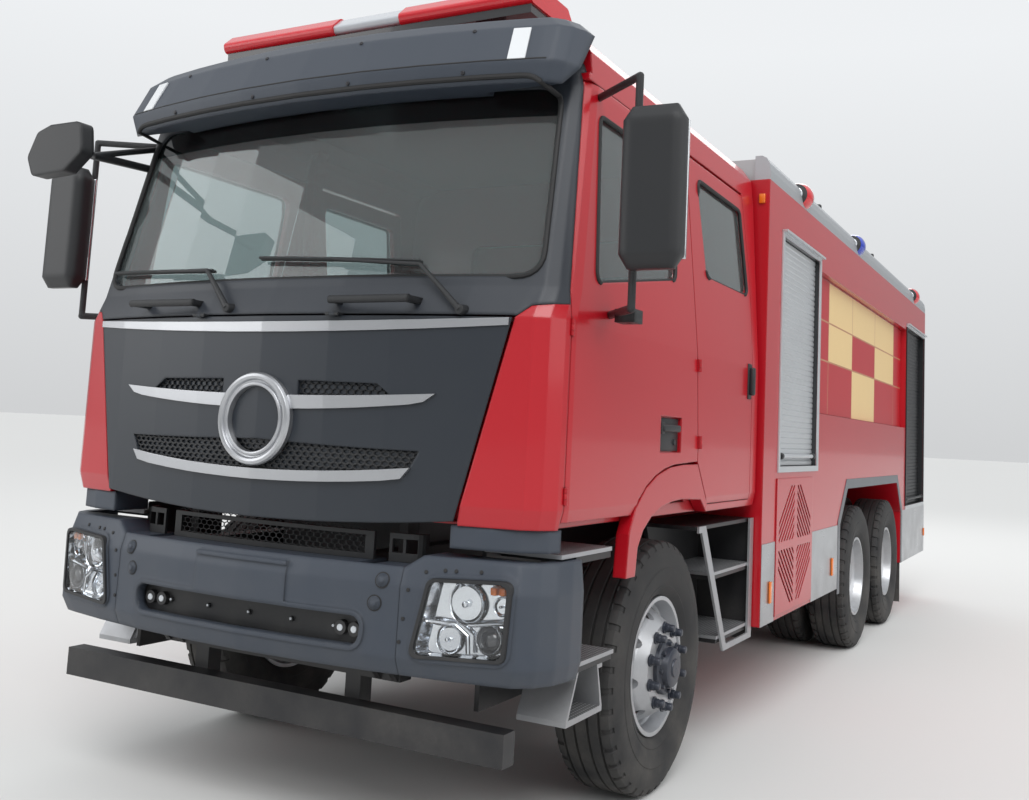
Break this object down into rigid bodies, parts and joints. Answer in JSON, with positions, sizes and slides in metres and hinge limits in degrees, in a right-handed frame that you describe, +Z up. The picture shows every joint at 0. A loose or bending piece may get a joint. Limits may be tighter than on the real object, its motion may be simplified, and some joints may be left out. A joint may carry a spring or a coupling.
{
  "type": "airport fire truck",
  "caption": "Three-axle airport fire truck with a tilting four-door cab, closed equipment body, shuttered lockers and a roof monitor.",
  "frame": {"origin": "on the ground under the middle of the truck's length and width", "axes": "+X to the truck's left, +Y to its rear, +Z up"},
  "size_m": [3.26, 9.435, 3.4374],
  "materials": {
    "chassis_black": "satin chassis paint",
    "bumper_slate": "slate blue-grey moulded panels, satin",
    "lamp_clear": "clear lamp lens over bright reflectors",
    "engine_grey": "painted castings and steel tanks",
    "red_paint": "gloss fire-engine red",
    "aluminium": "anodised extrusions and chequer plate",
    "chequer": "cream and red reflective blocks",
    "stainless": "brushed stainless sheet",
    "lens": "moulded lamp lenses",
    "glass": "tinted safety glass",
    "dark_plastic": "grained black plastic",
    "seat_fabric": "woven seat cloth",
    "chrome": "satin chrome bars",
    "tyre_rubber": "road tyres",
    "rim_paint": "silver painted steel discs"
  },
  "bodies": {
    "chassis": {"frame": "chassis_black", "bumper": "bumper_slate", "headlamps": "lamp_clear", "axles": "chassis_black", "springs": "chassis_black", "engine": "engine_grey", "driveline": "engine_grey", "cab_steps": "chassis_black", "body_shell": "red_paint", "roof_deck": "aluminium", "shutters": "aluminium", "side_panels": "chequer", "skirts": "stainless", "arch_trims": "stainless", "lamps": "lens", "ladder": "aluminium", "monitor_base": "red_paint", "lower_grille": "dark_plastic", "step_treads": "aluminium", "vent_doors": "red_paint"},
    "monitor": {"monitor_swivel": "red_paint"},
    "monitor_tube": {"monitor_barrel": "red_paint"},
    "cab": {"cab_shell": "red_paint", "windscreen": "glass", "surround": "bumper_slate", "visor": "bumper_slate", "light_bar": "lens", "wings": "red_paint", "dashboard": "dark_plastic", "seats": "seat_fabric", "front_trim": "dark_plastic", "cab_hinges": "chassis_black"},
    "nose_panel": {"front_panel": "dark_plastic", "panel_chrome": "chrome"},
    "column_wheel": {"steering_wheel": "dark_plastic"},
    "front_door_left": {"door_front_left": "red_paint", "glass_front_left": "glass", "mirror_left": "dark_plastic"},
    "rear_door_left": {"door_rear_left": "red_paint", "glass_rear_left": "glass"},
    "steer_left": {"knuckle_left": "chassis_black"},
    "front_wheel_left": {"tyre_front_left": "tyre_rubber", "rim_front_left": "rim_paint"},
    "second_wheels_left": {"tyres_second_left": "tyre_rubber", "rims_second_left": "rim_paint"},
    "third_wheels_left": {"tyres_third_left": "tyre_rubber", "rims_third_left": "rim_paint"},
    "front_door_right": {"door_front_right": "red_paint", "glass_front_right": "glass", "mirror_right": "dark_plastic"},
    "rear_door_right": {"door_rear_right": "red_paint", "glass_rear_right": "glass"},
    "steer_right": {"knuckle_right": "chassis_black"},
    "front_wheel_right": {"tyre_front_right": "tyre_rubber", "rim_front_right": "rim_paint"},
    "second_wheels_right": {"tyres_second_right": "tyre_rubber", "rims_second_right": "rim_paint"},
    "third_wheels_right": {"tyres_third_right": "tyre_rubber", "rims_third_right": "rim_paint"}
  },
  "joints": [
    {"name": "cab_tilt", "type": "hinge", "parent": "chassis", "child": "cab", "pos_m": [0, -4.2475, 0.78], "axis": [1, 0, 0], "range_deg": [0, 45]},
    {"name": "nose_panel_lift", "type": "hinge", "parent": "cab", "child": "nose_panel", "pos_m": [0, -4.3735, 1.946], "axis": [-1, 0, 0], "range_deg": [0, 60]},
    {"name": "front_door_left_swing", "type": "hinge", "parent": "cab", "child": "front_door_left", "pos_m": [1.218, -4.1085, 1.6], "axis": [0, 0, -1], "range_deg": [0, 70]},
    {"name": "rear_door_left_swing", "type": "hinge", "parent": "cab", "child": "rear_door_left", "pos_m": [1.23, -2.7075, 1.5], "axis": [0, 0.1054, -0.9944], "range_deg": [0, 70]},
    {"name": "steer_left", "type": "hinge", "parent": "chassis", "child": "steer_left", "pos_m": [0.915, -2.9775, 0.5425], "axis": [0, 0, 1], "range_deg": [-38, 38]},
    {"name": "front_wheel_left_spin", "type": "hinge", "parent": "steer_left", "child": "front_wheel_left", "pos_m": [1.03, -2.9775, 0.5425], "axis": [1, 0, 0], "continuous": true},
    {"name": "second_wheels_left_spin", "type": "hinge", "parent": "chassis", "child": "second_wheels_left", "pos_m": [1.095, 1.1325, 0.5425], "axis": [1, 0, 0], "continuous": true},
    {"name": "third_wheels_left_spin", "type": "hinge", "parent": "chassis", "child": "third_wheels_left", "pos_m": [1.095, 2.4825, 0.5425], "axis": [1, 0, 0], "continuous": true},
    {"name": "front_door_right_swing", "type": "hinge", "parent": "cab", "child": "front_door_right", "pos_m": [-1.218, -4.1085, 1.6], "axis": [0, 0, 1], "range_deg": [0, 70]},
    {"name": "rear_door_right_swing", "type": "hinge", "parent": "cab", "child": "rear_door_right", "pos_m": [-1.23, -2.7075, 1.5], "axis": [0, -0.1054, 0.9944], "range_deg": [0, 70]},
    {"name": "steer_right", "type": "hinge", "parent": "chassis", "child": "steer_right", "pos_m": [-0.915, -2.9775, 0.5425], "axis": [0, 0, 1], "range_deg": [-38, 38]},
    {"name": "front_wheel_right_spin", "type": "hinge", "parent": "steer_right", "child": "front_wheel_right", "pos_m": [-1.03, -2.9775, 0.5425], "axis": [1, 0, 0], "continuous": true},
    {"name": "second_wheels_right_spin", "type": "hinge", "parent": "chassis", "child": "second_wheels_right", "pos_m": [-1.095, 1.1325, 0.5425], "axis": [1, 0, 0], "continuous": true},
    {"name": "third_wheels_right_spin", "type": "hinge", "parent": "chassis", "child": "third_wheels_right", "pos_m": [-1.095, 2.4825, 0.5425], "axis": [1, 0, 0], "continuous": true},
    {"name": "steering_wheel_turn", "type": "hinge", "parent": "cab", "child": "column_wheel", "pos_m": [0.59, -3.5975, 2.01], "axis": [0, 0.4695, 0.8829], "range_deg": [-836, 836]},
    {"name": "monitor_turn", "type": "hinge", "parent": "chassis", "child": "monitor", "pos_m": [0, -0.7775, 3.1425], "axis": [0, 0, 1], "continuous": true},
    {"name": "monitor_lift", "type": "hinge", "parent": "monitor", "child": "monitor_tube", "pos_m": [0, -0.7775, 3.3825], "axis": [-1, 0, 0], "range_deg": [0, 70]}
  ],
  "couplings": [
    {"joint": "steer_right", "follows": "steer_left", "ratio": 1},
    {"joint": "steering_wheel_turn", "follows": "steer_left", "ratio": 22}
  ]
}
